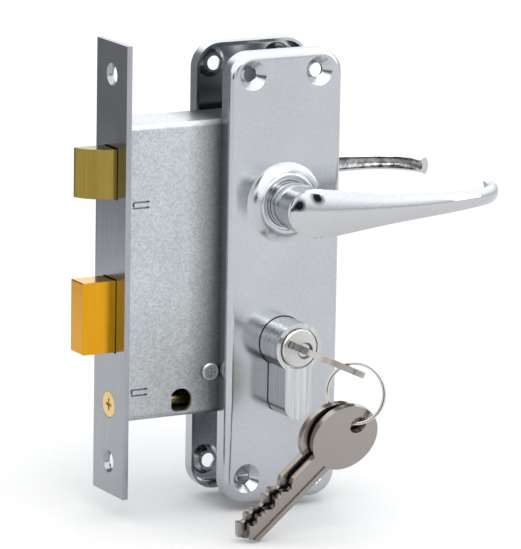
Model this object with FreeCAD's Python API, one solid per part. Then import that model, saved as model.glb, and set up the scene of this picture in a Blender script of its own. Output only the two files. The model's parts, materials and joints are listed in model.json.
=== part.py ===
import FreeCAD, Part
import math
import os

# Mortise lock with lever handles on long plates, a double euro-profile cylinder and three keys.
# Millimetres, +Z up. The origin is the centre of the forend's outer face, between its two
# fixing holes. +X runs from the forend into the door, and -Y is the side that faces a visitor.

V = FreeCAD.Vector

# --- driving dimensions ---------------------------------------------------------------------
BACKSET = 57.0            # forend face to spindle axis
CENTRES = 47.5            # spindle axis to cylinder axis
SPINDLE_Z = 21.0
CYLINDER_Z = SPINDLE_Z - CENTRES

FOREND_HEIGHT = 153.0
FOREND_WIDTH = 22.0
FOREND_THICK = 2.0
FOREND_HOLE_SPACING = 131.0
FOREND_HOLE_R = 2.45
FOREND_SINK_R = 3.8
SLOT_GAP = 0.35           # round the latch and the deadbolt where they pass the forend
LUG_END = 11.0            # how far the forend's fixing lugs reach into the case
LUG_HALF = 2.4

CASE_DEPTH = 76.0         # forend face to the back of the case
CASE_TOP = 49.5
CASE_BOTTOM = -50.5
CASE_HALF = 9.0
SHEET = 1.2
CASE_BEND_R = 2.0

LATCH_LOW = 24.6
LATCH_HIGH = 41.3
LATCH_HALF = 4.6
LATCH_OUT = 11.5
LATCH_BACK = 13.5

BOLT_LOW = -27.3
BOLT_HIGH = -2.9
BOLT_HALF = 4.55
BOLT_OUT = 12.2
BOLT_BACK = 13.0
BOLT_TRAVEL = 12.4

FOLLOWER_R = 8.0
FOLLOWER_ARM = 14.2       # spindle axis to the centre of the arm's round nose
FOLLOWER_NOSE_R = 2.5
LEVER_TRAVEL = 45.0
SPINDLE_SIDE = 7.9

PLATE_WIDTH = 42.4
PLATE_X = BACKSET + 0.6
PLATE_TOP = 71.9
PLATE_BOTTOM = -81.8
PLATE_DEPTH = 6.5
PLATE_SHEET = 1.0
PLATE_CORNER_R = 8.5
PLATE_EDGE_R = 2.5
PLATE_FACE = CASE_HALF + PLATE_DEPTH
PLATE_HOLE_HALF_X = 12.5
PLATE_HOLE_TOP = 64.5
PLATE_HOLE_BOTTOM = -72.8
PLATE_HOLE_R = 2.4
PLATE_SINK_R = 5.0
PLATE_SINK = 2.3          # depth of the dish round each screw hole
PLATE_CUP = 3.2           # depth of the pressed cup behind it

DOME_R = 14.2
DOME_TOP_R = 10.0
DOME_HEIGHT = 3.6
DOME_BORE_R = 8.95
NECK_R = 8.0
RIDGE_Y = -32.7           # where the sloping front of the neck starts

HEAD_R = 8.5              # round part of the euro profile
BODY_HALF = 5.0           # flat part of the euro profile
CYLINDER_HEIGHT = 33.0
CYLINDER_END = 27.5       # half the cylinder's length
PLUG_R = 6.5
PLUG_PROUD = 0.8
CAM_HALF = 4.35
CAM_REACH = 14.6
PROFILE_GAP = 0.25        # round the cylinder where it passes the case and the plates
RETAINER_DROP = 19.5      # cylinder axis to the retaining screw
RETAINER_R = 2.45
RETAINER_HEAD_R = 4.4
RETAINER_HOLE_R = 2.7
RETAINER_SINK_R = 4.5
RETAINER_SINK = 1.7       # depth of the forend's countersink
KEY_TURN = 65.0           # how far the key stands turned from the upright position

PIN_YS = [8.5, 12.5, 16.5, 20.5, 24.5]
PIN_R = 1.4
PIN_POINT = 1.5
BITTING = [1.5, 2.0, 0.9, 2.4, 1.2]

KEY_THICK = 2.1
KEY_BLADE = 33.0
KEY_BACK_EDGE = 4.6       # axis to the plain edge of the blade
KEY_CUT_EDGE = -3.6       # axis to the uncut crest of the bitted edge
KEY_STANDOFF = 8.0        # plug face to the key's shoulder
BOW_R = 12.0
BOW_CENTRE = 13.0         # shoulder to the bow's centre
BOW_HOLE = 19.0           # shoulder to the centre of the hole
BOW_HOLE_R = 3.0

RING_R = 9.9              # middle of the wire
RING_RADIAL = 1.2
RING_AXIAL = 1.7
RING_AZIMUTH = 49.0
RING_TILT = 11.0
RING_HANG = 123.0         # where on the ring the lock's key sits, round from the ring's right
KEY_SWING = 41.0
KEY_LEAN = 17.5
FRONT_KEY_AT = -83.0      # where on the ring each hanging key sits
REAR_KEY_AT = -108.0
WIRE_GROOVE = 0.2         # depth of the groove between the ring's two turns
WIRE_GROOVE_HALF = 0.12

RUN = 0.06                # radial clearance of a running fit
FIT = 0.02                # gap between pieces that are riveted or pressed together

Y_AXIS = V(0, 1, 0)
SPINDLE = V(BACKSET, 0, SPINDLE_Z)
CYLINDER = V(BACKSET, 0, CYLINDER_Z)


# --- building blocks --------------------------------------------------------------------------
def box(x0, x1, y0, y1, z0, z1):
    return Part.makeBox(x1 - x0, y1 - y0, z1 - z0, V(x0, y0, z0))


def rod_x(x0, x1, y, z, r):
    return Part.makeCylinder(r, x1 - x0, V(x0, y, z), V(1, 0, 0))


def rod_y(y0, y1, x, z, r):
    return Part.makeCylinder(r, y1 - y0, V(x, y0, z), Y_AXIS)


def rod_z(z0, z1, x, y, r):
    return Part.makeCylinder(r, z1 - z0, V(x, y, z0), V(0, 0, 1))


def cone_x(x0, x1, y, z, r0, r1):
    return Part.makeCone(r0, r1, x1 - x0, V(x0, y, z), V(1, 0, 0))


def cone_y(y0, y1, x, z, r0, r1):
    return Part.makeCone(r0, r1, y1 - y0, V(x, y0, z), Y_AXIS)


def slab_xz(points, y0, y1):
    """A flat plate with the given X-Z outline, from y0 to y1."""
    wire = Part.makePolygon([V(x, y0, z) for x, z in points + points[:1]])
    return Part.Face(wire).extrude(V(0, y1 - y0, 0))


def rounded_slab(x0, x1, z0, z1, r, y0, y1):
    """A rectangle with round corners in X-Z, from y0 to y1."""
    block = box(x0, x1, y0, y1, z0, z1)
    upright = [e for e in block.Edges if abs(e.tangentAt(e.FirstParameter).y) > 0.99]
    return block.makeFillet(r, upright)


def rim_edges(shape, y):
    """Edges that lie wholly in the plane at this y."""
    return [e for e in shape.Edges if max(abs(e.BoundBox.YMin - y), abs(e.BoundBox.YMax - y)) < 1e-6]


def euro_profile(y0, y1, grow=0.0):
    """The keyhole-shaped cylinder section, from y0 to y1, grown all round for a cut-out."""
    low = CYLINDER_Z + HEAD_R - CYLINDER_HEIGHT
    half = BODY_HALF + grow
    round_part = rod_y(y0, y1, BACKSET, CYLINDER_Z, HEAD_R + grow)
    stem = box(BACKSET - half, BACKSET + half, y0, y1, low + BODY_HALF, CYLINDER_Z)
    foot = rod_y(y0, y1, BACKSET, low + BODY_HALF, half)
    return round_part.fuse([stem, foot]).removeSplitter()


def spring(start, direction, length, radius, wire_r, turns):
    """A coil spring with its axis from start along direction."""
    helix = Part.makeHelix(length / turns, length, radius)
    section = Part.Wire([Part.makeCircle(wire_r, V(radius, 0, 0), V(0, 1, 0))])
    coil = Part.Wire(helix.Edges).makePipeShell([section], True, True)
    coil.Placement = FreeCAD.Placement(start, FreeCAD.Rotation(V(0, 0, 1), direction))
    return coil


def mirrored(shape):
    """The same piece on the other side of the door."""
    return shape.mirror(V(0, 0, 0), Y_AXIS)


def save(name, shape):
    if not shape.isValid():
        raise ValueError("invalid shape: " + name)
    shape.exportStep("parts/" + name + ".step")
    print(name, len(shape.Solids), round(shape.Volume, 1))


# --- lock case --------------------------------------------------------------------------------
CASE_SCREWS = [(33.1, -36.0), (70.5, 44.8), (70.5, -44.5)]
CASE_SCREW_HEAD_R = 3.2
PILLAR_R = 2.8
LANCED_TABS = [(3.6, 22.9), (3.6, -40.6)]
TAB_LENGTH = 6.2
TAB_HEIGHT = 2.6
TONGUE_GAP = 0.7          # slot round three sides of the tongue in each lanced tab
TONGUE_HALF = 0.65
WINDOW_X = 22.4           # round window in the case side, cut off flat at its left and bottom
WINDOW_Z = -45.0
WINDOW_R = 4.2
WINDOW_LEFT = 3.5
WINDOW_DOWN = 3.6
CASE_SCREW_R = 1.98
CASE_SCREW_HEAD = 1.4
CASE_SCREW_HOLE_R = 2.1
PILLAR_BORE_R = 2.05
RECESS_HALF = 1.7         # cross recess in the case screws
RECESS_ARM = 0.35
RECESS_DEPTH = 0.8
BOLT_GUIDE_X = 35.0
BOLT_GUIDE_Z = -9.0
BOLT_GUIDE_R = 1.5
LATCH_ROD_Z = 29.0
LATCH_ROD_R = 1.6
BRACKET_X = 38.0
BRACKET_SHEET = 1.4
BRACKET_HALF = 5.0
BRACKET_FOOT = 6.1
BRACKET_HOLE_R = 2.2
DETENT_X = 26.5
DETENT_LEAF = 0.6
DETENT_HALF = 2.0
DETENT_POST_AT = 10.9     # to each side of the leaf's nose
DETENT_POST_Z = 5.6
DETENT_POST_R = 1.4
RETAINER_Z = CYLINDER_Z - RETAINER_DROP
INNER = CASE_HALF - SHEET


def make_forend():
    half_w = FOREND_WIDTH / 2
    half_h = FOREND_HEIGHT / 2
    plate = box(0, FOREND_THICK, -half_w, half_w, -half_h, half_h)
    latch_y = LATCH_HALF + SLOT_GAP
    bolt_y = BOLT_HALF + SLOT_GAP
    sink = FOREND_SINK_R - FOREND_HOLE_R
    cuts = [
        box(-1, 3, -latch_y, latch_y, LATCH_LOW - SLOT_GAP, LATCH_HIGH + SLOT_GAP),
        box(-1, 3, -bolt_y, bolt_y, BOLT_LOW - SLOT_GAP, BOLT_HIGH + SLOT_GAP),
        rod_x(-1, 3, 0, RETAINER_Z, RETAINER_HOLE_R),
        cone_x(-0.01, RETAINER_SINK, 0, RETAINER_Z, RETAINER_SINK_R, RETAINER_HOLE_R),
    ]
    for z in (-FOREND_HOLE_SPACING / 2, FOREND_HOLE_SPACING / 2):
        cuts.append(rod_x(-1, 3, 0, z, FOREND_HOLE_R))
        cuts.append(cone_x(-0.01, sink, 0, z, FOREND_SINK_R, FOREND_HOLE_R))
    lugs = []
    lug_y = -INNER + 0.05
    for _, z in LANCED_TABS:
        lugs.append(box(FOREND_THICK, LUG_END, lug_y, lug_y + SHEET, z - LUG_HALF, z + LUG_HALF))
    return plate.cut(cuts).fuse(lugs)


def case_openings():
    """The holes that both sides of the case share."""
    deep = CASE_HALF + 1
    hub = rod_y(-deep, deep, BACKSET, SPINDLE_Z, FOLLOWER_R + RUN)
    keyhole = euro_profile(-deep, deep, PROFILE_GAP)
    half = BODY_HALF + PROFILE_GAP
    foot_slot = box(BACKSET - half, BACKSET + half, -deep, deep, CASE_BOTTOM - 1, RETAINER_Z)
    return hub, keyhole, foot_slot


def make_case_body():
    shell = box(FOREND_THICK, CASE_DEPTH, -CASE_HALF, INNER - 0.02, CASE_BOTTOM, CASE_TOP)
    bends = [e for e in rim_edges(shell, -CASE_HALF) if e.BoundBox.XMax > FOREND_THICK + 1]
    shell = shell.makeFillet(CASE_BEND_R, bends)
    hollow = box(
        FOREND_THICK - 1, CASE_DEPTH - SHEET, -INNER, CASE_HALF + 1,
        CASE_BOTTOM + SHEET, CASE_TOP - SHEET,
    )
    inner_bends = [e for e in rim_edges(hollow, -INNER) if e.BoundBox.XMax > FOREND_THICK + 1]
    hollow = hollow.makeFillet(CASE_BEND_R - SHEET, inner_bends)
    hub, keyhole, foot_slot = case_openings()
    cuts = [hollow, hub, keyhole, foot_slot]
    outside = -CASE_HALF - 1
    inside = -INNER + 1
    for x, z in CASE_SCREWS:
        cuts.append(rod_y(outside, inside, x, z, CASE_SCREW_HOLE_R))
    for x, z in LANCED_TABS:
        end = x + TAB_LENGTH
        slot = box(x, end, outside, -INNER + 2 * FIT, z - TAB_HEIGHT / 2, z + TAB_HEIGHT / 2)
        tongue = box(x + TONGUE_GAP, end + 1, outside - 1, inside, z - TONGUE_HALF, z + TONGUE_HALF)
        cuts.append(slot.cut(tongue))
    window = rod_y(outside, inside, WINDOW_X, WINDOW_Z, WINDOW_R)
    kept = box(
        WINDOW_X - WINDOW_LEFT, WINDOW_X + WINDOW_R + 1, outside - 1, inside + 1,
        WINDOW_Z - WINDOW_DOWN, WINDOW_Z + WINDOW_R + 1,
    )
    cuts.append(window.common(kept))
    return shell.cut(cuts)


def make_case_cover():
    plate = box(FOREND_THICK, CASE_DEPTH, INNER, CASE_HALF, CASE_BOTTOM, CASE_TOP)
    hub, keyhole, foot_slot = case_openings()
    return plate.cut([hub, keyhole, foot_slot])


def post_across(x, z, r):
    """A post between the two sides of the case."""
    return rod_y(-INNER + FIT, INNER - FIT, x, z, r)


def make_case_pillars():
    """Threaded pillars riveted to the cover, one for each case screw."""
    pillars = []
    for x, z in CASE_SCREWS:
        bore = rod_y(-10, 2, x, z, PILLAR_BORE_R)
        pillars.append(post_across(x, z, PILLAR_R).cut(bore))
    return Part.makeCompound(pillars)


def make_case_screws():
    """Cross-recessed pan-head screws that hold the two halves of the case together."""
    top = -CASE_HALF - CASE_SCREW_HEAD
    floor = top + RECESS_DEPTH
    screws = []
    for x, z in CASE_SCREWS:
        head = rod_y(top, -CASE_HALF - FIT, x, z, CASE_SCREW_HEAD_R)
        head = head.makeFillet(0.9, rim_edges(head, top))
        shank = rod_y(-CASE_HALF - 0.1, 1.0, x, z, CASE_SCREW_R)
        cross = [
            box(x - RECESS_HALF, x + RECESS_HALF, top - 0.1, floor, z - RECESS_ARM, z + RECESS_ARM),
            box(x - RECESS_ARM, x + RECESS_ARM, top - 0.1, floor, z - RECESS_HALF, z + RECESS_HALF),
        ]
        screws.append(head.fuse(shank).cut(cross))
    return Part.makeCompound(screws)


def make_bolt_guide():
    """Stud fixed to the case that runs in the slot of the deadbolt's tail."""
    return post_across(BOLT_GUIDE_X, BOLT_GUIDE_Z, BOLT_GUIDE_R)


def make_spring_bracket():
    """Bent plate on the case floor that the latch spring pushes against."""
    low = LATCH_ROD_Z - BRACKET_HALF
    high = LATCH_ROD_Z + BRACKET_HALF
    floor = -INNER + FIT
    bend = BRACKET_X + BRACKET_SHEET
    wall = box(BRACKET_X, bend, floor, 6.5, low, high)
    foot = box(bend, bend + BRACKET_FOOT, floor, -INNER + BRACKET_SHEET, low, high)
    hole = rod_x(BRACKET_X - 1, bend + 1, 0, LATCH_ROD_Z, BRACKET_HOLE_R)
    return wall.fuse(foot).removeSplitter().cut(hole)


def make_detent_spring():
    """Bent leaf above the deadbolt's tail; its nose drops into one of two notches."""
    bends = [(-11.5, 3.2), (-2.5, 1.2), (0, -4.6), (2.5, 1.2), (11.5, 3.2)]
    lower = [(DETENT_X + x, z) for x, z in bends]
    upper = [(x, z + DETENT_LEAF) for x, z in reversed(lower)]
    return slab_xz(lower + upper, -DETENT_HALF, DETENT_HALF)


def make_detent_posts():
    """Two studs on the case that hold the ends of the detent leaf down."""
    posts = []
    for x in (DETENT_X - DETENT_POST_AT, DETENT_X + DETENT_POST_AT):
        posts.append(post_across(x, DETENT_POST_Z, DETENT_POST_R))
    return Part.makeCompound(posts)


# --- latch ------------------------------------------------------------------------------------
TAIL_HALF = 2.5
LATCH_TAIL_LOW = 38.2
LATCH_TAIL_AT = 8.0       # where the pocket for the tail starts
LATCH_TAIL_HIGH = LATCH_HIGH - 0.1
LATCH_HOOK_LOW = 32.3
LATCH_HOOK = 5.0
LATCH_TIP = 0.9           # flat left at the tip of the curved face
POCKET_GAP = 0.05
NOSE_REST = math.radians(LEVER_TRAVEL / 2)
HOOK_FACE = BACKSET - FOLLOWER_ARM * math.sin(NOSE_REST) + FOLLOWER_NOSE_R + 0.33


def make_latch_head():
    """Latch bolt with a curved striking face towards -Y and a flat back."""
    root = V(-0.9, -LATCH_HALF, LATCH_LOW)
    bulge = V(-7.6, -1.75, LATCH_LOW)
    tip = V(-LATCH_OUT, LATCH_HALF - LATCH_TIP, LATCH_LOW)
    far_tip = V(-LATCH_OUT, LATCH_HALF, LATCH_LOW)
    far_back = V(LATCH_BACK, LATCH_HALF, LATCH_LOW)
    near_back = V(LATCH_BACK, -LATCH_HALF, LATCH_LOW)
    outline = [Part.Arc(root, bulge, tip).toShape()]
    for start, end in [(tip, far_tip), (far_tip, far_back), (far_back, near_back), (near_back, root)]:
        outline.append(Part.LineSegment(start, end).toShape())
    head = Part.Face(Part.Wire(outline)).extrude(V(0, 0, LATCH_HIGH - LATCH_LOW))
    half = TAIL_HALF + POCKET_GAP
    pocket = box(LATCH_TAIL_AT, 20, -half, half, LATCH_TAIL_LOW - POCKET_GAP, LATCH_HIGH + 1)
    return head.cut(pocket)


def make_latch_tail():
    """Strip riveted in the latch head, with the hook that the follower's arm pulls back."""
    hook_end = HOOK_FACE + LATCH_HOOK
    start = LATCH_TAIL_AT + POCKET_GAP
    strip = box(start, hook_end, -TAIL_HALF, TAIL_HALF, LATCH_TAIL_LOW, LATCH_TAIL_HIGH)
    hook = box(HOOK_FACE, hook_end, -TAIL_HALF, TAIL_HALF, LATCH_HOOK_LOW, LATCH_TAIL_HIGH)
    return strip.fuse(hook).removeSplitter()


def make_latch_rod():
    """Guide rod behind the latch head that keeps its spring straight."""
    return rod_x(LATCH_BACK, 34.5, 0, LATCH_ROD_Z, LATCH_ROD_R)


def make_latch_spring():
    return spring(V(LATCH_BACK + 0.5, 0, LATCH_ROD_Z), V(1, 0, 0), 23.4, 2.7, 0.4, 8)


# --- deadbolt ---------------------------------------------------------------------------------
NOTCH_X = BACKSET - (BOLT_TRAVEL / 2)
NOTCH_HALF = 4.2
NOTCH_TOP = CYLINDER_Z + 15.4
BOLT_TAIL_AT = 3.0        # where the slot for the tail starts
BOLT_TAIL_END = 60.0
GUIDE_SLOT_HALF = 1.6
GUIDE_SLOT_END = 2.0      # slot beyond the stud at each end of the travel
DETENT_NOTCH_Z = -6.0
BOLT_RIVET_X = 8.0
BOLT_RIVET_ZS = (-13.0, -7.3)
BOLT_RIVET_R = 1.15
TAIL_LOW = CYLINDER_Z + 10.2
TAIL_HIGH = -4.0


def rivet_rods(y_end, r):
    """A rod on the axis of each of the deadbolt's rivets."""
    return [rod_y(-y_end, y_end, BOLT_RIVET_X, z, r) for z in BOLT_RIVET_ZS]


def make_deadbolt_head():
    head = box(-BOLT_OUT, BOLT_BACK, -BOLT_HALF, BOLT_HALF, BOLT_LOW, BOLT_HIGH)
    outer = [e for e in head.Edges if e.BoundBox.XMax < -BOLT_OUT + 0.01]
    head = head.makeChamfer(0.35, outer)
    half = TAIL_HALF + POCKET_GAP
    slot = box(BOLT_TAIL_AT, 20, -half, half, TAIL_LOW - POCKET_GAP, TAIL_HIGH + POCKET_GAP)
    return head.cut([slot] + rivet_rods(6, BOLT_RIVET_R + 0.05))


def make_deadbolt_tail():
    """Strip riveted in the deadbolt's head, with the cam's notch and two detent notches."""
    start = BOLT_TAIL_AT + POCKET_GAP
    tail = box(start, BOLT_TAIL_END, -TAIL_HALF, TAIL_HALF, TAIL_LOW, TAIL_HIGH)
    notch = box(NOTCH_X - NOTCH_HALF, NOTCH_X + NOTCH_HALF, -6, 6, TAIL_LOW - 1, NOTCH_TOP)
    guide = rounded_slab(
        BOLT_GUIDE_X - BOLT_TRAVEL - GUIDE_SLOT_END, BOLT_GUIDE_X + GUIDE_SLOT_END,
        BOLT_GUIDE_Z - GUIDE_SLOT_HALF, BOLT_GUIDE_Z + GUIDE_SLOT_HALF, 1.55, -6, 6,
    )
    detents = []
    mouth = TAIL_HIGH + 0.2
    for x in (DETENT_X, DETENT_X - BOLT_TRAVEL):
        detents.append(slab_xz([(x - 1.0, mouth), (x, DETENT_NOTCH_Z), (x + 1.0, mouth)], -6, 6))
    return tail.cut([notch, guide] + detents + rivet_rods(6, BOLT_RIVET_R + 0.05))


def make_deadbolt_rivets():
    return Part.makeCompound(rivet_rods(BOLT_HALF - 0.05, BOLT_RIVET_R))


# --- follower, spindle and levers -------------------------------------------------------------
FOLLOWER_CORE_R = 10.0
FOLLOWER_CORE_HALF = 3.0
ARM_HALF_WIDTH = 1.5
ARM_HALF = 2.4
SOCKET_HALF = SPINDLE_SIDE / 2 + 0.08
SPINDLE_END = 33.0
GROOVE_FRONT = -13.0      # circlip groove round the lever's neck
GROOVE_BACK = -11.9
GROOVE_DEPTH = 0.9
CLIP_WIDTH = 1.6          # how far the circlip stands out from the neck
BUSH_FLANGE_R = 11.5
BUSH_FLANGE_FRONT = -14.4
BUSH_FLANGE_BACK = -13.2


def make_follower():
    hub = rod_y(-CASE_HALF + 0.1, CASE_HALF - 0.1, BACKSET, SPINDLE_Z, FOLLOWER_R)
    core = rod_y(-FOLLOWER_CORE_HALF, FOLLOWER_CORE_HALF, BACKSET, SPINDLE_Z, FOLLOWER_CORE_R)
    nose_z = SPINDLE_Z + FOLLOWER_ARM
    arm = box(BACKSET - ARM_HALF_WIDTH, BACKSET + ARM_HALF_WIDTH, -ARM_HALF, ARM_HALF, SPINDLE_Z, nose_z)
    nose = rod_y(-ARM_HALF, ARM_HALF, BACKSET, nose_z, FOLLOWER_NOSE_R)
    solid = hub.fuse([core, arm, nose]).removeSplitter()
    solid.rotate(SPINDLE, Y_AXIS, -LEVER_TRAVEL / 2)
    return solid.cut(spindle_socket(-20, 20))


def spindle_socket(y0, y1):
    """The square hole that the spindle slides into."""
    return box(
        BACKSET - SOCKET_HALF, BACKSET + SOCKET_HALF, y0, y1,
        SPINDLE_Z - SOCKET_HALF, SPINDLE_Z + SOCKET_HALF,
    )


def make_follower_spring():
    """Torsion coil round the follower that brings the levers back level."""
    return spring(V(BACKSET, 3.7, SPINDLE_Z), Y_AXIS, 3.4, 9.3, 0.55, 2.5)


def make_spindle():
    half = SPINDLE_SIDE / 2
    bar = box(
        BACKSET - half, BACKSET + half, -SPINDLE_END, SPINDLE_END, SPINDLE_Z - half, SPINDLE_Z + half,
    )
    ends = [e for e in bar.Edges if abs(abs(e.BoundBox.Center.y) - SPINDLE_END) < 0.01]
    return bar.makeChamfer(0.6, ends)


# Stations along the lever's ridge line: distance from the spindle axis, distance from the middle
# of the case, heading away from +X in degrees, half height, front bulge, back depth.
LEVER_STATIONS = [
    (-7.7, -34.0, -24, 2.2, 0.3, 3.0),
    (-5.6, -35.1, -24, 5.9, 0.9, 4.5),
    (-2.0, -36.9, -20, 7.9, 1.6, 6.5),
    (3.5, -38.6, -14, 8.1, 2.0, 7.5),
    (12.0, -39.6, -6, 7.0, 2.0, 6.3),
    (24.0, -40.3, 0, 5.4, 1.8, 5.0),
    (38.0, -40.1, 3, 4.2, 1.6, 4.2),
    (52.0, -38.8, 8, 3.4, 1.4, 3.8),
    (64.0, -36.0, 20, 2.9, 1.3, 3.6),
    (71.5, -31.8, 42, 2.9, 1.3, 3.6),
    (75.4, -26.0, 72, 3.0, 1.2, 3.2),
    (75.9, -20.6, 92, 3.0, 1.0, 2.6),
]


def lever_section(x, y, heading, half, front, back):
    """Lens-shaped section across the lever: a shallow front arc and a deeper back arc."""
    angle = math.radians(heading)
    middle = V(BACKSET + x, y, SPINDLE_Z)
    outward = V(math.sin(angle), -math.cos(angle), 0)
    top = middle + V(0, 0, half)
    bottom = middle - V(0, 0, half)
    front_arc = Part.Arc(top, middle + outward * front, bottom).toShape()
    back_arc = Part.Arc(bottom, middle - outward * back, top).toShape()
    return Part.Wire([front_arc, back_arc])


def slab_above_ridge():
    """Everything in front of the sloping plane where the round neck ends."""
    block = box(-60, 60, -60, 0, -60, 60)
    block.rotate(V(0, 0, 0), V(0, 0, 1), -22.0)
    block.translate(V(BACKSET - NECK_R, RIDGE_Y, SPINDLE_Z))
    return block


def make_front_lever():
    grip = Part.makeLoft([lever_section(*s) for s in LEVER_STATIONS], True, False)
    neck = rod_y(-38.0, -10.0, BACKSET, SPINDLE_Z, NECK_R).cut(slab_above_ridge())
    groove = rod_y(GROOVE_FRONT, GROOVE_BACK, BACKSET, SPINDLE_Z, NECK_R + 1)
    groove = groove.cut(rod_y(-14, -11, BACKSET, SPINDLE_Z, NECK_R - GROOVE_DEPTH))
    return neck.fuse(grip).cut([groove, spindle_socket(-SPINDLE_END - 0.2, -9)])


def make_front_circlip():
    """Open ring in the neck's groove that holds the lever in its plate."""
    ring = rod_y(GROOVE_FRONT + 0.1, GROOVE_BACK - 0.1, BACKSET, SPINDLE_Z, NECK_R + CLIP_WIDTH)
    ring = ring.cut(rod_y(-14, -11, BACKSET, SPINDLE_Z, NECK_R - GROOVE_DEPTH + 0.05))
    mouth = box(BACKSET - 3.0, BACKSET + 3.0, -14, -11, SPINDLE_Z - 12, SPINDLE_Z)
    return ring.cut(mouth)


def make_front_bush():
    """Plated bearing bush between the lever's neck and the plate's collar."""
    front = -PLATE_FACE - DOME_HEIGHT + 0.3
    sleeve = rod_y(front, BUSH_FLANGE_FRONT, BACKSET, SPINDLE_Z, DOME_BORE_R - 0.03)
    flange = rod_y(BUSH_FLANGE_FRONT, BUSH_FLANGE_BACK, BACKSET, SPINDLE_Z, BUSH_FLANGE_R)
    return sleeve.fuse(flange).cut(rod_y(-25, -10, BACKSET, SPINDLE_Z, NECK_R + RUN))


# --- plates -----------------------------------------------------------------------------------
def plate_holes():
    holes = []
    for side in (-1, 1):
        for z in (PLATE_HOLE_TOP, PLATE_HOLE_BOTTOM):
            holes.append((BACKSET + side * PLATE_HOLE_HALF_X, z))
    return holes


def make_dome(face):
    """The collar round the lever's neck, turned about the spindle axis."""
    top = face - DOME_HEIGHT
    base = face + PLATE_SHEET
    rim = V(DOME_R, face, 0)
    flank = V(11.6, face - 1.3, 0)
    shoulder = V(DOME_TOP_R + 0.4, top + 0.6, 0)
    crown = V(DOME_TOP_R, top + 0.1, 0)
    flat = V(9.4, top, 0)
    profile = [
        Part.LineSegment(V(0, base, 0), V(DOME_R, base, 0)).toShape(),
        Part.LineSegment(V(DOME_R, base, 0), rim).toShape(),
        Part.Arc(rim, flank, shoulder).toShape(),
        Part.Arc(shoulder, crown, flat).toShape(),
        Part.LineSegment(flat, V(0, top, 0)).toShape(),
        Part.LineSegment(V(0, top, 0), V(0, base, 0)).toShape(),
    ]
    dome = Part.Face(Part.Wire(profile)).revolve(V(0, 0, 0), Y_AXIS, 360)
    dome.translate(V(BACKSET, 0, SPINDLE_Z))
    return dome


def make_front_plate():
    """Pressed long plate, open at the back, with a collar for the lever and dished screw holes."""
    x0 = PLATE_X - PLATE_WIDTH / 2
    x1 = PLATE_X + PLATE_WIDTH / 2
    t = PLATE_SHEET
    face = -PLATE_FACE
    outer = rounded_slab(x0, x1, PLATE_BOTTOM, PLATE_TOP, PLATE_CORNER_R, face, -CASE_HALF)
    outer = outer.makeFillet(PLATE_EDGE_R, rim_edges(outer, face))
    inner = rounded_slab(
        x0 + t, x1 - t, PLATE_BOTTOM + t, PLATE_TOP - t, PLATE_CORNER_R - t, face + t, -CASE_HALF + 1,
    )
    inner = inner.makeFillet(PLATE_EDGE_R - t, rim_edges(inner, face + t))
    shell = outer.cut(inner)
    cups = []
    cuts = [rod_y(-25, -5, BACKSET, SPINDLE_Z, DOME_BORE_R), euro_profile(-25, -5, PROFILE_GAP)]
    for x, z in plate_holes():
        cups.append(cone_y(face + 0.5, face + PLATE_CUP, x, z, PLATE_SINK_R + 0.6, PLATE_HOLE_R + 1.0))
        cuts.append(cone_y(face - 0.01, face + PLATE_SINK, x, z, PLATE_SINK_R, PLATE_HOLE_R))
        cuts.append(rod_y(face, face + 6, x, z, PLATE_HOLE_R))
    return shell.fuse([make_dome(face)] + cups).removeSplitter().cut(cuts)


# --- cylinder ---------------------------------------------------------------------------------
PLUG_BACK = 4.45
CLIP_NEAR = 4.57
CLIP_FAR = 5.12
CLIP_R = 5.95
CLIP_OUTER_R = 7.6
PLUG_LIP = 0.55           # gap of the ring round each plug's face
PLUG_LIP_DEPTH = 1.2
CAM_POCKET_HALF = 5.2
CAM_POCKET_DOWN = 15.3
CAM_R = 8.2
CAM_LUG_HALF = 3.0
CLUTCH_R = 4.5
WARD_LOW = 1.7            # rib on each side of the keyway
WARD_HIGH = 2.5
WARD_DEPTH = 0.35
DRIVER_LENGTH = 4.6
REAR_LIFT = 1.6           # how far the far plug's drivers stand across its edge, with no key in it
PIN_TIP_R = 0.35
CHAMBER_FLOOR = CYLINDER_Z + HEAD_R - CYLINDER_HEIGHT + 1.4


def key_slot(y0, y1):
    """The keyway, upright: a slot with a ward rib on each side."""
    half = KEY_THICK / 2 + 0.1
    slot = box(
        BACKSET - half, BACKSET + half, y0, y1,
        CYLINDER_Z + KEY_CUT_EDGE - 0.2, CYLINDER_Z + KEY_BACK_EDGE + 0.2,
    )
    low = CYLINDER_Z + WARD_LOW
    high = CYLINDER_Z + WARD_HIGH
    ribs = []
    for x in (BACKSET - half, BACKSET + half):
        ribs.append(box(x - WARD_DEPTH, x + WARD_DEPTH, y0 - 1, y1 + 1, low, high))
    return slot.cut(ribs)


def make_cylinder_body():
    body = euro_profile(-CYLINDER_END, CYLINDER_END)
    lip_r = PLUG_R + PLUG_LIP
    pocket_low = CYLINDER_Z - CAM_POCKET_DOWN
    cuts = [
        rod_y(-40, 40, BACKSET, CYLINDER_Z, PLUG_R + RUN),
        rod_y(-CYLINDER_END - 1, -CYLINDER_END + PLUG_LIP_DEPTH, BACKSET, CYLINDER_Z, lip_r),
        rod_y(CYLINDER_END - PLUG_LIP_DEPTH, CYLINDER_END + 1, BACKSET, CYLINDER_Z, lip_r),
        box(BACKSET - 12, BACKSET + 12, -CAM_POCKET_HALF, CAM_POCKET_HALF, pocket_low, CYLINDER_Z + 12),
        rod_x(BACKSET - 8, BACKSET + 8, 0, RETAINER_Z, RETAINER_R + 0.1),
    ]
    for side in (-1, 1):
        for y in PIN_YS:
            cuts.append(rod_z(CHAMBER_FLOOR, CYLINDER_Z, BACKSET, side * y, PIN_R + RUN))
    return body.cut(cuts)


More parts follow.
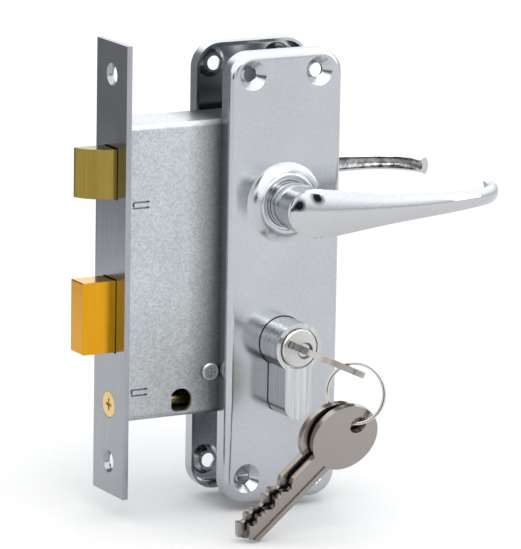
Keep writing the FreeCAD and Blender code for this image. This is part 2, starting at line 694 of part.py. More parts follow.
def make_plug_upright():
    """The front plug with its keyway upright."""
    face = -CYLINDER_END - PLUG_PROUD
    plug = rod_y(face, -PLUG_BACK, BACKSET, CYLINDER_Z, PLUG_R)
    plug = plug.makeChamfer(0.45, rim_edges(plug, face))
    cuts = [key_slot(face - 1, -PLUG_BACK + 1)]
    cuts.append(cone_y(face - 0.01, face + 1.1, BACKSET, CYLINDER_Z - 2.2, 2.9, 2.2))
    for y in PIN_YS:
        cuts.append(rod_z(CYLINDER_Z - PLUG_R - 1, CYLINDER_Z + 1.0, BACKSET, -y, PIN_R + RUN))
    groove = rod_y(-CLIP_FAR - 0.02, -CLIP_NEAR + 0.02, BACKSET, CYLINDER_Z, PLUG_R + 1)
    cuts.append(groove.cut(rod_y(-6, -4, BACKSET, CYLINDER_Z, CLIP_R - 0.05)))
    return plug.cut(cuts)


def turned(shape):
    """Turned with the key, from upright to where it stands in the lock."""
    shape.rotate(CYLINDER, Y_AXIS, -KEY_TURN)
    return shape


def make_cam():
    """Ring between the plugs, with the lug that drives the deadbolt."""
    ring = rod_y(-CAM_HALF, CAM_HALF, BACKSET, CYLINDER_Z, CAM_R)
    end = CYLINDER_Z + CAM_REACH
    lug = box(BACKSET - CAM_LUG_HALF, BACKSET + CAM_LUG_HALF, -CAM_HALF, CAM_HALF, CYLINDER_Z, end)
    tip = [e for e in lug.Edges if e.BoundBox.ZMin > end - 0.01]
    corners = [e for e in tip if abs(e.tangentAt(e.FirstParameter).y) > 0.99]
    lug = lug.makeFillet(1.2, corners)
    cam = ring.fuse(lug).cut(rod_y(-6, 6, BACKSET, CYLINDER_Z, CLUTCH_R + 0.1))
    cam.rotate(CYLINDER, Y_AXIS, -KEY_TURN / 2)
    return cam


def make_clutch():
    """Sliding coupler inside the cam that the key's tip pushes towards the far plug."""
    return rod_y(-2.6, 3.6, BACKSET, CYLINDER_Z, CLUTCH_R)


def make_plug_clip():
    """Open clip in the front plug's groove that keeps it from sliding out of the cylinder."""
    clip = rod_y(-CLIP_FAR, -CLIP_NEAR, BACKSET, CYLINDER_Z, CLIP_OUTER_R)
    mouth = box(BACKSET - 2.5, BACKSET + 2.5, -6, -4, CYLINDER_Z, CYLINDER_Z + 9)
    return clip.cut([rod_y(-6, -4, BACKSET, CYLINDER_Z, CLIP_R), mouth])


def pin_set(side, lengths, tops):
    """Five pointed pins in a row, from the cam outwards; tops are their upper ends."""
    pins = []
    for y, length, z in zip(PIN_YS, lengths, tops):
        shank = rod_z(z - length, z - PIN_POINT, BACKSET, side * y, PIN_R)
        neck = V(BACKSET, side * y, z - PIN_POINT)
        point = Part.makeCone(PIN_R, PIN_TIP_R, PIN_POINT, neck, V(0, 0, 1))
        pins.append(shank.fuse(point))
    return Part.makeCompound(pins)


def make_front_key_pins():
    tops = [CYLINDER_Z - cut - 0.12 for cut in BITTING]
    lengths = [PLUG_R - cut - 0.2 for cut in BITTING]
    return turned(pin_set(-1, lengths, tops))


def make_front_drivers():
    return pin_set(-1, [DRIVER_LENGTH] * 5, [CYLINDER_Z - PLUG_R - 0.12] * 5)


def make_rear_key_pins():
    lengths = [PLUG_R - cut - 0.2 for cut in BITTING]
    tops = [CYLINDER_Z - PLUG_R + REAR_LIFT + 0.1 + length for length in lengths]
    return pin_set(1, lengths, tops)


def make_rear_drivers():
    return pin_set(1, [DRIVER_LENGTH] * 5, [CYLINDER_Z - PLUG_R + REAR_LIFT] * 5)


def pin_springs(side, top):
    """Five coils between the floor of each chamber and the driver above it."""
    start = CHAMBER_FLOOR + 0.3
    length = top - start - 0.3
    coils = []
    for y in PIN_YS:
        coils.append(spring(V(BACKSET, side * y, start), V(0, 0, 1), length, 1.05, 0.2, 6))
    return Part.makeCompound(coils)


def make_retaining_screw():
    """Long countersunk screw through the forend that holds the cylinder."""
    head = cone_x(0.05, RETAINER_SINK - 0.05, 0, RETAINER_Z, RETAINER_HEAD_R, RETAINER_HOLE_R - 0.05)
    shank = rod_x(1.6, BACKSET + 4.0, 0, RETAINER_Z, RETAINER_R)
    cross = [
        box(-1, 1.1, -2.0, 2.0, RETAINER_Z - 0.45, RETAINER_Z + 0.45),
        box(-1, 1.1, -0.45, 0.45, RETAINER_Z - 2.0, RETAINER_Z + 2.0),
    ]
    return head.fuse(shank).cut(cross)


# --- keys and ring ----------------------------------------------------------------------------
KEY_ROOT = -3.0           # where the blade starts inside the bow
KEY_PLAIN = 8.4           # uncut length in front of the shoulder
KEY_TIP_Z = 1.4
CUT_FLAT = 0.6            # half the flat at the bottom of each cut
CUT_SLOPE = 1.5           # half the cut's width at its top
CUT_RISE = 1.3
WARD_GROOVE_LOW = 1.45
WARD_GROOVE_HIGH = 2.75
WARD_GROOVE_DEPTH = 0.55
RING_REST = 0.9           # the wire rests off the middle of the key's hole


def make_key_upright():
    """A key as it enters the lock: blade along +Y, bitted edge down, shoulder at y = 0."""
    crest = KEY_CUT_EDGE
    outline = [(KEY_ROOT, KEY_BACK_EDGE), (KEY_ROOT, crest), (KEY_PLAIN, crest)]
    insert = KEY_STANDOFF + CYLINDER_END + PLUG_PROUD
    for pin_y, cut in reversed(list(zip(PIN_YS, BITTING))):
        y = insert - pin_y
        slope_top = max(crest, -cut - CUT_RISE)
        outline.append((y - CUT_SLOPE, slope_top))
        outline.append((y - CUT_FLAT, -cut))
        outline.append((y + CUT_FLAT, -cut))
        outline.append((y + CUT_SLOPE, slope_top))
    outline += [(KEY_BLADE - 3.4, -3.0), (KEY_BLADE, KEY_TIP_Z), (KEY_BLADE - 1.8, KEY_BACK_EDGE)]
    half = KEY_THICK / 2
    wire = Part.makePolygon([V(-half, y, z) for y, z in outline + outline[:1]])
    blade = Part.Face(wire).extrude(V(KEY_THICK, 0, 0))
    bow = Part.makeCylinder(BOW_R, KEY_THICK, V(-half, -BOW_CENTRE, 0), V(1, 0, 0))
    hole = Part.makeCylinder(BOW_HOLE_R, 6, V(-3, -BOW_HOLE, 0), V(1, 0, 0))
    depth = WARD_GROOVE_DEPTH
    grooves = []
    for x in (-half, half):
        grooves.append(box(x - depth, x + depth, -1.5, KEY_BLADE + 1, WARD_GROOVE_LOW, WARD_GROOVE_HIGH))
    return blade.fuse(bow).cut([hole] + grooves)


def make_key_in_lock():
    key = make_key_upright()
    key.translate(V(BACKSET, -CYLINDER_END - PLUG_PROUD - KEY_STANDOFF, CYLINDER_Z))
    return turned(key)


def ring_axes():
    """The ring's right, up and normal directions."""
    azimuth = math.radians(RING_AZIMUTH)
    tilt = math.radians(RING_TILT)
    right = V(math.cos(azimuth), -math.sin(azimuth), 0)
    normal = V(math.sin(azimuth) * math.cos(tilt), math.cos(azimuth) * math.cos(tilt), -math.sin(tilt))
    return right, right.cross(normal), normal


def ring_point(degrees):
    right, up, _ = ring_axes()
    angle = math.radians(degrees)
    return right * (RING_R * math.cos(angle)) + up * (RING_R * math.sin(angle))


def ring_pivot():
    """Where the ring's wire passes through the hole of the key in the lock."""
    turn = math.radians(KEY_TURN)
    hole_y = -CYLINDER_END - PLUG_PROUD - KEY_STANDOFF - BOW_HOLE
    sideways = V(math.sin(turn), 0, -math.cos(turn))
    return V(BACKSET, hole_y, CYLINDER_Z) + sideways * RING_REST


def ring_centre():
    return ring_pivot() - ring_point(RING_HANG)


def make_key_ring():
    """Split ring of flat wire, with the shallow groove between its two turns."""
    a = RING_RADIAL / 2
    b = RING_AXIAL / 2
    g = WIRE_GROOVE_HALF
    half = [(a, -b), (a, -g), (a - WIRE_GROOVE, 0), (a, g), (a, b)]
    points = half + [(-x, -z) for x, z in half]
    wire = Part.makePolygon([V(RING_R + x, 0, z) for x, z in points + points[:1]])
    ring = Part.Face(wire).revolve(V(0, 0, 0), V(0, 0, 1), 360)
    normal = ring_axes()[2]
    ring.Placement = FreeCAD.Placement(ring_centre(), FreeCAD.Rotation(V(0, 0, 1), normal))
    return ring


def hanging_key(round_ring):
    """A key that hangs on the ring; round_ring is where on the ring its hole sits."""
    key = make_key_upright()
    key.translate(V(0, BOW_HOLE, 0))
    key.rotate(V(0, 0, 0), V(1, 0, 0), -90)
    key.rotate(V(0, 0, 0), V(0, 0, 1), -90)
    key.rotate(V(0, 0, 0), V(0, 1, 0), KEY_SWING)
    key.rotate(V(0, 0, 0), V(1, 0, 0), KEY_LEAN)
    key.translate(ring_centre() + ring_point(round_ring))
    return key


os.makedirs("parts", exist_ok=True)

save("forend", make_forend())
save("case_body", make_case_body())
save("case_cover", make_case_cover())
save("case_pillars", make_case_pillars())
save("case_screws", make_case_screws())
save("bolt_guide_stud", make_bolt_guide())
save("spring_bracket", make_spring_bracket())
save("detent_spring", make_detent_spring())
save("detent_posts", make_detent_posts())
save("latch_head", make_latch_head())
save("latch_tail", make_latch_tail())
save("latch_guide_rod", make_latch_rod())
save("latch_spring", make_latch_spring())
save("deadbolt_head", make_deadbolt_head())
save("deadbolt_tail", make_deadbolt_tail())
save("deadbolt_rivets", make_deadbolt_rivets())
save("follower", make_follower())
save("follower_spring", make_follower_spring())
save("spindle", make_spindle())
save("front_lever", make_front_lever())
save("rear_lever", mirrored(make_front_lever()))
save("front_circlip", make_front_circlip())
save("rear_circlip", mirrored(make_front_circlip()))
save("front_bush", make_front_bush())
save("rear_bush", mirrored(make_front_bush()))
save("front_plate", make_front_plate())
save("rear_plate", mirrored(make_front_plate()))
save("cylinder_body", make_cylinder_body())
save("front_plug", turned(make_plug_upright()))
save("rear_plug", mirrored(make_plug_upright()))
save("front_plug_clip", turned(make_plug_clip()))
save("rear_plug_clip", mirrored(make_plug_clip()))
save("cylinder_cam", make_cam())
save("cam_clutch", make_clutch())
save("front_key_pins", make_front_key_pins())
save("front_driver_pins", make_front_drivers())
save("front_pin_springs", pin_springs(-1, CYLINDER_Z - PLUG_R - DRIVER_LENGTH - 0.2))
save("rear_key_pins", make_rear_key_pins())
save("rear_driver_pins", make_rear_drivers())
save("rear_pin_springs", pin_springs(1, CYLINDER_Z - PLUG_R + REAR_LIFT - DRIVER_LENGTH - 0.1))
save("retaining_screw", make_retaining_screw())
save("key_in_lock", make_key_in_lock())
save("key_ring", make_key_ring())
save("hanging_key_front", hanging_key(FRONT_KEY_AT))
save("hanging_key_rear", hanging_key(REAR_KEY_AT))
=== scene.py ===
import json
import math

import bmesh
import bpy
from mathutils import Matrix, Vector

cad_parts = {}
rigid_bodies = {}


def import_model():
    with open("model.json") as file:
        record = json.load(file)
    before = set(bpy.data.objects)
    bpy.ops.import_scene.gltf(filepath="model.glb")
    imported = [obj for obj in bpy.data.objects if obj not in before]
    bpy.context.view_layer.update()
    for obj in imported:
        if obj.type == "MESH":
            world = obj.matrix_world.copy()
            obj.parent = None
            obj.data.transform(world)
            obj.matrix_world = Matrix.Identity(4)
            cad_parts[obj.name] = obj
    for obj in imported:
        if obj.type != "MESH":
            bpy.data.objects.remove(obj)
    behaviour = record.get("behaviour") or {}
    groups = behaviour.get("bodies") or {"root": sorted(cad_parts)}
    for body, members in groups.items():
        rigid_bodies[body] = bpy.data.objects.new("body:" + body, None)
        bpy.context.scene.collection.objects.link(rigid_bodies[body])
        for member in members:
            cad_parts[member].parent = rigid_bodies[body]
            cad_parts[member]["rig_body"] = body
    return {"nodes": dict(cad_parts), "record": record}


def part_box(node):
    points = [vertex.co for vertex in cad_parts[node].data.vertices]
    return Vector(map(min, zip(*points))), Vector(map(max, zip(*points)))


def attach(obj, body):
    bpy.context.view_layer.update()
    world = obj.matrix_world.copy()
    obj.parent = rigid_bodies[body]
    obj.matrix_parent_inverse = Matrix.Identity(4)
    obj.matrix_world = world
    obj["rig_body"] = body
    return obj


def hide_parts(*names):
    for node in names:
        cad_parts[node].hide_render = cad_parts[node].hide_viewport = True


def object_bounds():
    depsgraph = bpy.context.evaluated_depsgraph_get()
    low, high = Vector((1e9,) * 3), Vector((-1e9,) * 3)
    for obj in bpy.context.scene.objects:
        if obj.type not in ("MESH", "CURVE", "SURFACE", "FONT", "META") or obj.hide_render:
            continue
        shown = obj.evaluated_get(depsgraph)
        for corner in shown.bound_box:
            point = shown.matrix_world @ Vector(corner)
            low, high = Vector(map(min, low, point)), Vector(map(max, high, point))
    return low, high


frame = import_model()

CAD_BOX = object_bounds()
MM = 0.001

# Axes of the lock in the CAD frame, in metres.
BACKSET = 57.0 * MM
SPINDLE_Z = 21.0 * MM

# --- camera -----------------------------------------------------------------------------------
CAMERA_AZIMUTH = math.radians(28.807)
CAMERA_ELEVATION = math.radians(12.219)
CAMERA_ROLL = math.radians(0.9744)
CAMERA_TARGET = Vector((0.05698, 0.0, -0.006789))
CAMERA_DISTANCE = 1.664
CAMERA_LENS = 323.6
SENSOR = 36.0


def camera_axes():
    flat = Vector((math.sin(CAMERA_AZIMUTH), math.cos(CAMERA_AZIMUTH), 0.0))
    forward = flat * math.cos(CAMERA_ELEVATION) - Vector((0, 0, math.sin(CAMERA_ELEVATION)))
    right = forward.cross(Vector((0, 0, 1))).normalized()
    up = right.cross(forward)
    roll = Matrix.Rotation(-CAMERA_ROLL, 3, forward)
    return roll @ right, roll @ up, forward


def add_camera():
    right, up, forward = camera_axes()
    data = bpy.data.cameras.new("camera")
    data.lens = CAMERA_LENS
    data.sensor_width = SENSOR
    data.clip_start = 0.05
    data.clip_end = 60.0
    camera = bpy.data.objects.new("camera", data)
    bpy.context.scene.collection.objects.link(camera)
    turn = Matrix((right, up, -forward)).transposed().to_4x4()
    camera.matrix_world = Matrix.Translation(CAMERA_TARGET - forward * CAMERA_DISTANCE) @ turn
    bpy.context.scene.camera = camera


# --- materials --------------------------------------------------------------------------------
class Nodes:
    """A small helper that adds shader nodes and joins them up."""

    def __init__(self, tree):
        self.tree = tree

    def add(self, kind, **values):
        node = self.tree.nodes.new(kind)
        for key, value in values.items():
            setattr(node, key, value)
        return node

    def link(self, a, b):
        self.tree.links.new(a, b)

    def noise(self, coords, scale, detail=3.0, rough=0.55, stretch=None, warp=0.0):
        source = coords
        if stretch is not None:
            mapping = self.add("ShaderNodeMapping")
            mapping.inputs["Scale"].default_value = stretch
            self.link(coords, mapping.inputs["Vector"])
            source = mapping.outputs["Vector"]
        node = self.add("ShaderNodeTexNoise")
        node.inputs["Scale"].default_value = scale
        node.inputs["Detail"].default_value = detail
        node.inputs["Roughness"].default_value = rough
        node.inputs["Distortion"].default_value = warp
        self.link(source, node.inputs["Vector"])
        return node.outputs["Fac"]

    def spread(self, fac, low, high, start=0.3, end=0.7):
        """A value from low to high as fac goes from start to end."""
        node = self.add("ShaderNodeMapRange")
        node.inputs["From Min"].default_value = start
        node.inputs["From Max"].default_value = end
        node.inputs["To Min"].default_value = low
        node.inputs["To Max"].default_value = high
        self.link(fac, node.inputs["Value"])
        return node.outputs["Result"]

    def ramp(self, fac, stops):
        node = self.add("ShaderNodeValToRGB")
        ramp = node.color_ramp
        while len(ramp.elements) < len(stops):
            ramp.elements.new(0.5)
        for element, (place, colour) in zip(ramp.elements, stops):
            element.position = place
            element.color = (*colour, 1.0)
        self.link(fac, node.inputs["Fac"])
        return node.outputs["Color"]

    def bump(self, height, distance, strength=1.0, normal=None):
        node = self.add("ShaderNodeBump")
        node.inputs["Distance"].default_value = distance
        node.inputs["Strength"].default_value = strength
        self.link(height, node.inputs["Height"])
        if normal is not None:
            self.link(normal, node.inputs["Normal"])
        return node.outputs["Normal"]


def metal(name, dark, light, rough, grain, stretch=None, depth=2e-6, swell=0.0, swell_scale=25.0,
          speck=None, shade=None):
    """A worn or plated metal: two shades, with a fine grain in colour, roughness and height.

    rough is (lowest, highest). grain is how many grains there are to a metre. swell is the
    height of the slow waves left by pressing or polishing. shade is (from x, to x, darkest) for
    painted shade: the colour darkens towards +X, where the metal runs in under the plates.
    """
    material = bpy.data.materials.new(name)
    material.use_nodes = True
    tree = material.node_tree
    nodes = Nodes(tree)
    shader = tree.nodes["Principled BSDF"]
    coords = nodes.add("ShaderNodeTexCoord").outputs["Object"]
    fine = nodes.noise(coords, grain, detail=4.0, stretch=stretch)
    slow = nodes.noise(coords, 28.0, detail=5.0, rough=0.6, warp=0.4)
    blend = nodes.add("ShaderNodeMix", data_type="FLOAT")
    blend.inputs["Factor"].default_value = 0.5 if speck is None else speck
    nodes.link(slow, blend.inputs["A"])
    nodes.link(fine, blend.inputs["B"])
    mixed = blend.outputs["Result"]
    colour = nodes.ramp(mixed, [(0.33, dark), (0.67, light)])
    # Painted shade: the colour darkens along X towards the plates, standing in for the shade where
    # the case runs in between them.
    if shade:
        start, end, darkest = shade
        parts = nodes.add("ShaderNodeSeparateXYZ")
        nodes.link(coords, parts.inputs["Vector"])
        painted_shade_factor = nodes.spread(parts.outputs["X"], 1.0, darkest, start=start, end=end)
        scaled = nodes.add("ShaderNodeVectorMath", operation="SCALE")
        nodes.link(colour, scaled.inputs["Vector"])
        nodes.link(painted_shade_factor, scaled.inputs["Scale"])
        colour = scaled.outputs["Vector"]
    nodes.link(colour, shader.inputs["Base Color"])
    nodes.link(nodes.spread(mixed, rough[0], rough[1]), shader.inputs["Roughness"])
    normal = nodes.bump(fine, depth)
    if swell:
        wave = nodes.noise(coords, swell_scale, detail=1.0)
        normal = nodes.bump(wave, swell, normal=normal)
    nodes.link(normal, shader.inputs["Normal"])
    shader.inputs["Metallic"].default_value = 1.0
    return material


def make_materials():
    upright = (1.0, 1.0, 0.03)
    return {
        "forend_steel": metal(
            "forend_steel", (0.27, 0.285, 0.305), (0.37, 0.385, 0.41), (0.16, 0.28), 1400,
            stretch=upright, depth=1.2e-6, swell=2e-5, swell_scale=22),
        # zinc_plate carries painted shade: its colour darkens from x = 24 mm to 37 mm, next to the
        # plates.
        "zinc_plate": metal(
            "zinc_plate", (0.34, 0.36, 0.375), (0.57, 0.595, 0.61), (0.30, 0.46), 1500,
            depth=6e-6, speck=0.72, shade=(0.024, 0.037, 0.12)),
        "screw_steel": metal(
            "screw_steel", (0.27, 0.28, 0.28), (0.42, 0.43, 0.43), (0.18, 0.30), 2200,
            depth=3e-6),
        "spring_steel": metal(
            "spring_steel", (0.30, 0.31, 0.33), (0.46, 0.47, 0.49), (0.20, 0.32), 2600),
        "tail_steel": metal(
            "tail_steel", (0.42, 0.43, 0.44), (0.60, 0.61, 0.62), (0.24, 0.38), 1800,
            depth=3e-6),
        "latch_brass": metal(
            "latch_brass", (0.23, 0.165, 0.035), (0.32, 0.235, 0.055), (0.16, 0.27), 1800,
            stretch=upright, depth=1.5e-6),
        "bolt_brass": metal(
            "bolt_brass", (0.56, 0.26, 0.010), (0.66, 0.33, 0.016), (0.16, 0.27), 1800,
            stretch=upright, depth=1.5e-6),
        "screw_brass": metal(
            "screw_brass", (0.62, 0.44, 0.16), (0.84, 0.64, 0.28), (0.2, 0.34), 2400,
            depth=3e-6),
        "chrome_plate": metal(
            "chrome_plate", (0.405, 0.425, 0.445), (0.49, 0.51, 0.535), (0.16, 0.22), 900,
            depth=1e-6, swell=6e-5, swell_scale=16),
        "chrome_lever": metal(
            "chrome_lever", (0.44, 0.445, 0.455), (0.50, 0.505, 0.515), (0.05, 0.085), 1200,
            depth=4e-7, swell=2e-5, swell_scale=30),
        "bush_nickel": metal(
            "bush_nickel", (0.46, 0.465, 0.47), (0.56, 0.565, 0.57), (0.08, 0.14), 1500,
            depth=1e-6),
        "cylinder_chrome": metal(
            "cylinder_chrome", (0.40, 0.405, 0.415), (0.62, 0.625, 0.63), (0.10, 0.20),
            1500, stretch=upright, depth=2.2e-6, speck=0.85),
        "plug_nickel": metal(
            "plug_nickel", (0.50, 0.495, 0.485), (0.62, 0.615, 0.60), (0.24, 0.36), 3000,
            stretch=upright, depth=2e-6),
        "cam_steel": metal("cam_steel", (0.30, 0.30, 0.31), (0.42, 0.42, 0.43), (0.3, 0.45), 2400),
        "pin_brass": metal("pin_brass", (0.60, 0.44, 0.18), (0.80, 0.62, 0.30), (0.2, 0.3), 2400),
        "key_nickel": metal(
            "key_nickel", (0.31, 0.285, 0.262), (0.345, 0.32, 0.295), (0.20, 0.24), 2200,
            depth=5e-7),
        "ring_nickel": metal(
            "ring_nickel", (0.50, 0.465, 0.43), (0.64, 0.60, 0.56), (0.12, 0.2), 2000,
            depth=1e-6),
    }


# --- pieces that follow a CAD node's shape, with its edges eased ---------------------------------
WELD = 0.002 * MM            # vertices closer than this are one
FLAT = math.radians(0.6)     # faces that turn by less than this are one flat face
EASED_FROM = math.radians(30.0)
EASED_SEGMENTS = 2
CRISP = 32.0                 # degrees: edges sharper than this stay crisp
CRISP_LEVER = 24.0
CRISP_WIRE = 50.0


def smooth_by_angle(mesh, degrees):
    """Smooth shading, with edges sharper than this left crisp."""
    work = bmesh.new()
    work.from_mesh(mesh)
    limit = math.radians(degrees)
    for face in work.faces:
        face.smooth = True
    for edge in work.edges:
        edge.smooth = len(edge.link_faces) == 2 and edge.calc_face_angle(0.0) < limit
    work.to_mesh(mesh)
    work.free()


def body_of(node):
    return frame["nodes"][node]["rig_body"]


def slot_of(node):
    for row in frame["record"]["subparts"]:
        if row["node"] == node:
            return row["material_slot"]
    raise ValueError(node)


def apply_modifiers(piece):
    graph = bpy.context.evaluated_depsgraph_get()
    graph.update()
    mesh = bpy.data.meshes.new_from_object(piece.evaluated_get(graph))
    piece.modifiers.clear()
    piece.data = mesh


def add_piece(name, mesh):
    piece = bpy.data.objects.new(name, mesh)
    bpy.context.scene.collection.objects.link(piece)
    return piece


def join_to_part(piece, node):
    """Put a new piece on the body of a CAD node, in place of the node, which is hidden."""
    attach(piece, body_of(node))
    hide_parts(node)


def paint(piece, *finishes):
    piece.data.materials.clear()
    for finish in finishes:
        piece.data.materials.append(finish)


def copy_of(node, name, flatten):
    """A piece with the node's mesh, welded, and its flat faces made whole if flatten is set."""
    mesh = bpy.data.meshes.new(name)
    work = bmesh.new()
    work.from_mesh(frame["nodes"][node].data)
    bmesh.ops.remove_doubles(work, verts=work.verts, dist=WELD)
    if flatten:
        bmesh.ops.dissolve_limit(work, angle_limit=FLAT, verts=work.verts, edges=work.edges)
    work.to_mesh(mesh)
    work.free()
    return add_piece(name, mesh)


def point_outwards(mesh):
    work = bmesh.new()
    work.from_mesh(mesh)
    bmesh.ops.recalc_face_normals(work, faces=work.faces)
    work.to_mesh(mesh)
    work.free()


def tube_faces(rings, count):
    """The faces of a closed tube, for vertices given as this many rings of count points each."""
    faces = []
    for i in range(rings - 1):
        for j in range(count):
            k = (j + 1) % count
            faces.append((i * count + j, i * count + k, (i + 1) * count + k, (i + 1) * count + j))
    last = (rings - 1) * count
    faces.append(tuple(reversed(range(count))))
    faces.append(tuple(range(last, last + count)))
    return faces


def eased(node, width, materials):
    """A copy of the node with small rounded edges, as tumbling and plating leave them."""
    piece = copy_of(node, node + "_eased", flatten=True)
    bevel = piece.modifiers.new("edges", "BEVEL")
    bevel.width = width
    bevel.segments = EASED_SEGMENTS
    bevel.limit_method = "ANGLE"
    bevel.angle_limit = EASED_FROM
    bevel.use_clamp_overlap = True
    apply_modifiers(piece)
    smooth_by_angle(piece.data, CRISP)
    level = piece.modifiers.new("flat_faces", "WEIGHTED_NORMAL")
    level.keep_sharp = True
    apply_modifiers(piece)
    paint(piece, materials[slot_of(node)])
    join_to_part(piece, node)


# Rounding of the edges, in millimetres, of each node that is seen from outside.
EASED_EDGES = {
    "forend": 0.18,
    "front_plate": 0.25,
    "rear_plate": 0.25,
    "latch_head": 0.18,
    "deadbolt_head": 0.2,
    "case_screws": 0.12,
    "retaining_screw": 0.1,
    "front_bush": 0.22,
    "rear_bush": 0.22,
    "cylinder_body": 0.18,
    "front_plug": 0.12,
    "rear_plug": 0.12,
    "key_in_lock": 0.28,
    "hanging_key_front": 0.28,
    "hanging_key_rear": 0.28,
}

# The cast hollow in each lever's back, from its rounded start to past the end of the grip. Each
# row has the distance from the spindle axis, the place across the door, the heading away from
# +X in degrees, the half height and the half depth, all but the heading in millimetres.
HOLLOW = [
    (40.0, -35.6, 3, 0.5, 0.4),
    (42.0, -35.8, 4, 1.6, 1.3),
    (46.0, -35.6, 6, 2.4, 2.2),
    (52.0, -34.9, 8, 2.4, 2.5),
    (64.0, -32.5, 20, 2.05, 2.3),
    (69.9, -29.4, 40, 2.0, 2.1),
    (72.5, -25.2, 72, 2.1, 1.7),
    (73.2, -20.6, 92, 2.1, 1.4),
    (73.2, -17.0, 92, 2.1, 1.4),
]
HOLLOW_SIDES = 20


def hollow_cutter(side):
    """The shape of the hollow; side is -1 for the front lever and 1 for the rear one."""
    verts = []
    for x, y, heading, half_height, half_depth in HOLLOW:
        angle = math.radians(heading)
        for j in range(HOLLOW_SIDES):
            turn = 2 * math.pi * j / HOLLOW_SIDES
            out = half_depth * math.cos(turn)
            along = x + out * math.sin(angle)
            away = y - out * math.cos(angle)
            up = half_height * math.sin(turn)
            verts.append((BACKSET + along * MM, -side * away * MM, SPINDLE_Z + up * MM))
    mesh = bpy.data.meshes.new("hollow_cutter")
    mesh.from_pydata(verts, [], tube_faces(len(HOLLOW), HOLLOW_SIDES))
    point_outwards(mesh)
    return add_piece("hollow_cutter", mesh)


def make_lever(node, side, materials, rough_cast):
    """A lever with its polished outside, and the rough-cast hollow in its back."""
    piece = copy_of(node, node + "_grip", flatten=False)
    cutter = hollow_cutter(side)
    for part in (piece, cutter):
        paint(part, materials[slot_of(node)], rough_cast)
    for face in cutter.data.polygons:    # after paint(), which sets every face back to 0
        face.material_index = 1
    cut = piece.modifiers.new("hollow", "BOOLEAN")
    cut.operation = "DIFFERENCE"
    cut.solver = "EXACT"
    cut.object = cutter
    apply_modifiers(piece)
    bpy.data.objects.remove(cutter)
    smooth_by_angle(piece.data, CRISP_LEVER)
    join_to_part(piece, node)


# The key ring, in millimetres and in the ring's own directions.
RING_AZIMUTH = math.radians(49.0)
RING_TILT = math.radians(11.0)
RING_R = 9.9
RING_THICK = 1.08         # across the wire, towards the ring's middle
RING_TURN_HEIGHT = 0.80   # along the ring's axis, for each of its two turns
RING_PITCH = 0.83
RING_CROSSING = 0.42      # half the angle over which the wire steps to its second turn
RING_START = math.radians(200.0)
RING_END_GAP = 0.03       # angle left bare between each open end and the crossing
RING_STEPS = 220
WIRE_CORNER = 0.14


def wire_section():
    """The wire's round-cornered section, as (outwards, along the axis) in millimetres."""
    half_w, half_h = RING_THICK / 2 - WIRE_CORNER, RING_TURN_HEIGHT / 2 - WIRE_CORNER
    points = []
    for corner, (a, b) in enumerate([(1, 1), (-1, 1), (-1, -1), (1, -1)]):
        for step in range(4):
            angle = math.radians(90 * corner + 30 * step)
            points.append((a * half_w + WIRE_CORNER * math.cos(angle),
                           b * half_h + WIRE_CORNER * math.sin(angle)))
    return points


def ring_lift(angle):
    """How far along the ring's axis the wire lies, for an angle from 0 to two whole turns."""
    step = (angle - 2 * math.pi) / RING_CROSSING
    t = min(1.0, max(0.0, (step + 1) / 2))
    return RING_PITCH * (t * t * (3 - 2 * t) - 0.5)


def make_split_ring(materials):
    """Two turns of flat wire with open ends, in place of the plain ring."""
    right = Vector((math.cos(RING_AZIMUTH), -math.sin(RING_AZIMUTH), 0))
    flat = Vector((math.sin(RING_AZIMUTH), math.cos(RING_AZIMUTH), 0))
    normal = flat * math.cos(RING_TILT) - Vector((0, 0, math.sin(RING_TILT)))
    up = right.cross(normal)
    low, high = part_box("key_ring")
    centre = (low + high) / 2
    section = wire_section()
    first = RING_CROSSING + RING_END_GAP
    last = 4 * math.pi - first
    verts = []
    for i in range(RING_STEPS + 1):
        angle = first + (last - first) * i / RING_STEPS
        out = right * math.cos(angle + RING_START) + up * math.sin(angle + RING_START)
        lift = ring_lift(angle)
        for radial, axial in section:
            verts.append(centre + (out * (RING_R + radial) + normal * (lift + axial)) * MM)
    mesh = bpy.data.meshes.new("split_ring")
    mesh.from_pydata(verts, [], tube_faces(RING_STEPS + 1, len(section)))
    smooth_by_angle(mesh, CRISP_WIRE)
    point_outwards(mesh)
    piece = add_piece("split_ring", mesh)
    paint(piece, materials[slot_of("key_ring")])
    join_to_part(piece, "key_ring")


# --- stage ------------------------------------------------------------------------------------
FLOOR_DROP = 0.6 * MM
FLOOR_HALF = 9.0


def add_floor():
    low = CAD_BOX[0][2] - FLOOR_DROP
    half = FLOOR_HALF
    corners = [(-half, -half, low), (half, -half, low), (half, half, low), (-half, half, low)]
    mesh = bpy.data.meshes.new("floor")
    mesh.from_pydata(corners, [], [(0, 1, 2, 3)])
    floor = add_piece("floor", mesh)
    material = bpy.data.materials.new("floor_paper")
    material.use_nodes = True
    nodes = Nodes(material.node_tree)
    shader = material.node_tree.nodes["Principled BSDF"]
    coords = nodes.add("ShaderNodeTexCoord").outputs["Object"]
    fibre = nodes.noise(coords, 900.0)
    paper = nodes.ramp(fibre, [(0.3, (0.46, 0.46, 0.46)), (0.7, (0.49, 0.49, 0.49))])
    nodes.link(paper, shader.inputs["Base Color"])
    shader.inputs["Roughness"].default_value = 0.9
    shader.inputs["Specular IOR Level"].default_value = 0.1
    mesh.materials.append(material)


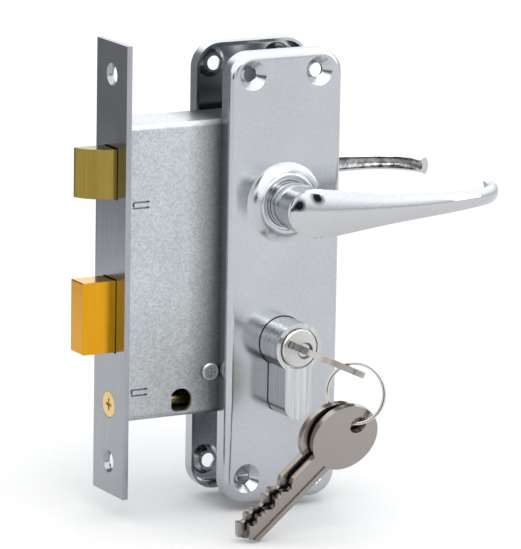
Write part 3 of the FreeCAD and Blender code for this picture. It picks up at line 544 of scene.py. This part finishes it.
def add_flag(name, heading, near, width, low, high, soft=0.6, shade=0.01):
    """A dark card with soft edges, which faces the lock for the chrome to reflect.

    heading is the way to it from the lock, in degrees from -Y towards -X. soft is the share of the
    card over which it fades out, and shade how light its middle is.
    """
    angle = math.radians(heading)
    centre = Vector((BACKSET - near * math.sin(angle), -near * math.cos(angle), (low + high) / 2))
    mesh = bpy.data.meshes.new(name)
    mesh.from_pydata([(-1, 0, -1), (1, 0, -1), (1, 0, 1), (-1, 0, 1)], [], [(0, 1, 2, 3)])
    card = add_piece(name, mesh)
    card.location = centre
    card.rotation_euler = (0, 0, -angle)
    card.scale = (width / 2, 1, (high - low) / 2)
    card.visible_camera = False
    card.visible_shadow = False
    card.visible_diffuse = False
    material = bpy.data.materials.new(name + "_card")
    material.use_nodes = True
    tree = material.node_tree
    nodes = Nodes(tree)
    shader = tree.nodes["Principled BSDF"]
    coords = nodes.add("ShaderNodeTexCoord").outputs["Object"]
    fibre = nodes.noise(coords, 60.0)
    card_colour = nodes.ramp(fibre, [(0.3, (shade * 0.8,) * 3), (0.7, (shade * 1.2,) * 3)])
    nodes.link(card_colour, shader.inputs["Base Color"])
    shader.inputs["Roughness"].default_value = 0.95
    shader.inputs["Specular IOR Level"].default_value = 0.0
    distance = nodes.add("ShaderNodeVectorMath", operation="LENGTH")
    nodes.link(coords, distance.inputs[0])
    cover = nodes.spread(distance.outputs["Value"], 1.0, 0.0, start=1.0 - soft, end=1.0)
    nodes.link(cover, shader.inputs["Alpha"])
    mesh.materials.append(material)


def add_light(name, place_at, aim, size, power):
    data = bpy.data.lights.new(name, "AREA")
    data.shape = "RECTANGLE"
    data.size, data.size_y = size
    data.energy = power
    light = add_piece(name, data)
    light.location = place_at
    light.rotation_euler = (Vector(aim) - Vector(place_at)).to_track_quat("-Z", "Y").to_euler()


def add_world():
    world = bpy.data.worlds.new("studio")
    bpy.context.scene.world = world
    world.use_nodes = True
    nodes = Nodes(world.node_tree)
    background = world.node_tree.nodes["Background"]
    coords = nodes.add("ShaderNodeTexCoord").outputs["Generated"]
    parts = nodes.add("ShaderNodeSeparateXYZ")
    nodes.link(coords, parts.inputs["Vector"])
    height = nodes.spread(parts.outputs["Z"], 0.0, 1.0, start=-0.2, end=1.0)
    sky = nodes.ramp(height, [
        (0.0, (0.40, 0.40, 0.41)),
        (0.17, (0.40, 0.405, 0.42)),
        (0.30, (0.62, 0.64, 0.67)),
        (0.50, (0.95, 0.96, 0.98)),
        (1.0, (1.0, 1.0, 1.0)),
    ])
    nodes.link(sky, background.inputs["Color"])
    background.inputs["Strength"].default_value = 2.05


def add_lights():
    aim = (0.05, 0.0, 0.0)
    add_light("key_softbox", (-0.35, -1.25, 1.35), aim, (1.1, 1.0), 14.0)
    add_light("top_softbox", (0.35, -0.15, 1.40), aim, (1.5, 1.0), 5.0)
    add_light("right_softbox", (1.35, -0.85, 0.55), aim, (0.5, 1.0), 3.5)
    floor = CAD_BOX[0][2]
    add_flag("left_flag", 52.0, 1.1, 0.62, floor - 0.1, 0.42)
    add_flag("camera_flag", 14.0, 1.8, 1.15, 0.18, 1.35)
    add_flag("rear_left_flag", 151.0, 0.42, 0.85, floor - 0.05, 0.34, soft=0.4, shade=0.17)


def main():
    materials = make_materials()
    for name, node in frame["nodes"].items():
        node.data.materials.clear()
        node.data.materials.append(materials[slot_of(name)])
    for name, width in EASED_EDGES.items():
        eased(name, width * MM, materials)
    rough_cast = metal("rough_cast", (0.03, 0.032, 0.035), (0.50, 0.505, 0.51), (0.12, 0.38), 420,
                       depth=1.6e-4, speck=0.8)
    make_lever("front_lever", -1, materials, rough_cast)
    make_lever("rear_lever", 1, materials, rough_cast)
    make_split_ring(materials)
    add_camera()
    add_world()
    add_lights()
    add_floor()
    scene = bpy.context.scene
    scene.view_settings.view_transform = "Standard"
    scene.view_settings.look = "None"
    scene.view_settings.exposure = 0.0
    bpy.context.view_layer.update()


main()
